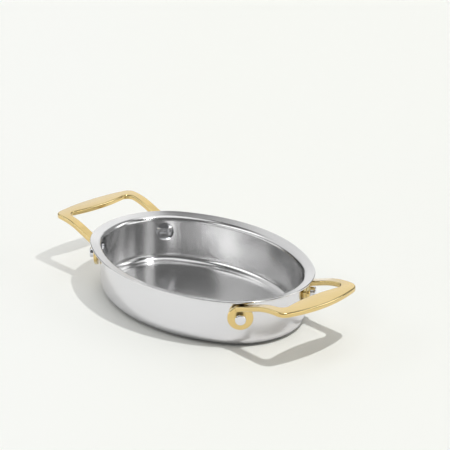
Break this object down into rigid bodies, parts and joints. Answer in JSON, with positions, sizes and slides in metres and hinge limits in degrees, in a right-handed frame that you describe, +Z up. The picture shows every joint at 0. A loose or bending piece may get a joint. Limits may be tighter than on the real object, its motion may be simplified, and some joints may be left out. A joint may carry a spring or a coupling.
{
  "type": "gratin dish",
  "caption": "Small oval gratin dish of bonded steel sheet, with a flared lip and a riveted gold-coloured loop handle at each end.",
  "frame": {"origin": "middle of the flat base, on the surface that the dish stands on", "axes": "+X along the dish's long way, towards one handle; +Y across it; +Z up, out of the mouth"},
  "size_m": [0.2582, 0.134, 0.0432],
  "materials": {
    "dish_steel": "finely brushed, bonded stainless sheet",
    "handle_gold": "satin gold-coloured coating on stainless steel",
    "rivet_steel": "polished"
  },
  "bodies": {
    "root": {"dish": "dish_steel", "handle_right": "handle_gold", "handle_left": "handle_gold", "rivet_right_back": "rivet_steel", "rivet_right_front": "rivet_steel", "rivet_left_back": "rivet_steel", "rivet_left_front": "rivet_steel"}
  },
  "joints": []
}
